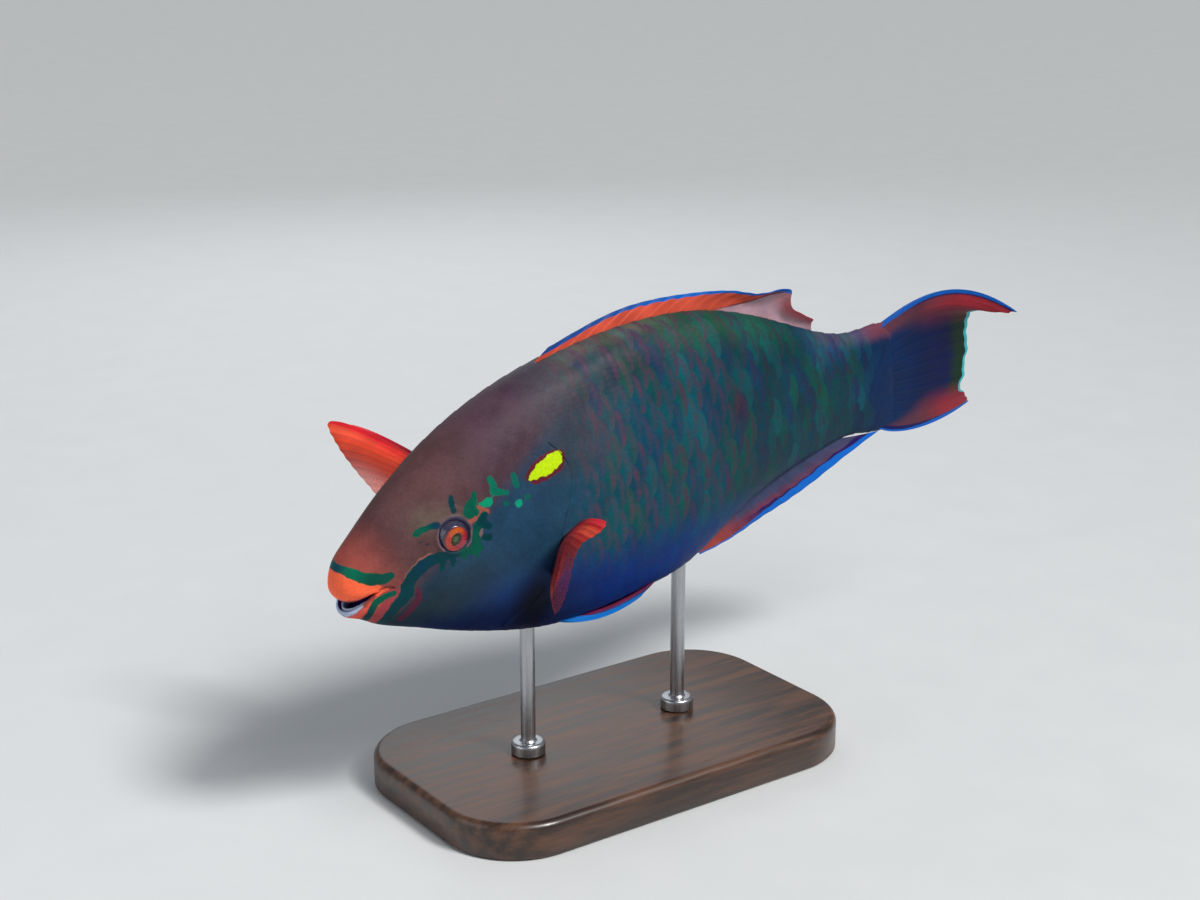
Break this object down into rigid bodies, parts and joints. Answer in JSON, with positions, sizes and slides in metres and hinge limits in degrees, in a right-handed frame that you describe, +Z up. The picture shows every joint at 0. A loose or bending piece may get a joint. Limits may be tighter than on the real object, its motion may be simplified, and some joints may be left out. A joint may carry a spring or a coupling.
{
  "type": "parrotfish display model",
  "caption": "Life-size parrotfish swimming with its head a little down, side fins spread and tail lobe curled, held by two thin rods on a flat base.",
  "frame": {"origin": "centre of the stand base's underside", "axes": "+Z up; the fish swims towards -X, with its head a little down, and its left side faces -Y"},
  "size_m": [0.3219, 0.1521, 0.1815],
  "materials": {
    "skin_head": "dusky red-brown skin under a satin varnish, with green bands round the eye and mouth",
    "skin_trunk": "dark teal scales under a satin varnish",
    "skin_stalk": "dark blue-green scales under a satin varnish",
    "fin_red": "thin orange-red membrane over fine rays, satin",
    "fin_violet": "thin violet-red membrane with a blue edge, satin",
    "fin_blue": "deep blue membrane with red lobes and a bright blue edge, satin",
    "eye": "glossy, orange iris round a dark pupil",
    "beak": "pale enamel",
    "stand_wood": "dark stained, satin lacquer",
    "stand_steel": "brushed"
  },
  "bodies": {
    "root": {"head": "skin_head", "trunk": "skin_trunk", "tail_stalk": "skin_stalk", "eye_left": "eye", "eye_right": "eye", "beak_upper": "beak", "beak_lower": "beak", "dorsal_fin": "fin_red", "anal_fin": "fin_violet", "caudal_fin": "fin_blue", "pectoral_fin_left": "fin_red", "pectoral_fin_right": "fin_red", "pelvic_fin_left": "fin_violet", "pelvic_fin_right": "fin_violet", "stand_base": "stand_wood", "stand_rod_front": "stand_steel", "stand_rod_rear": "stand_steel"}
  },
  "joints": []
}
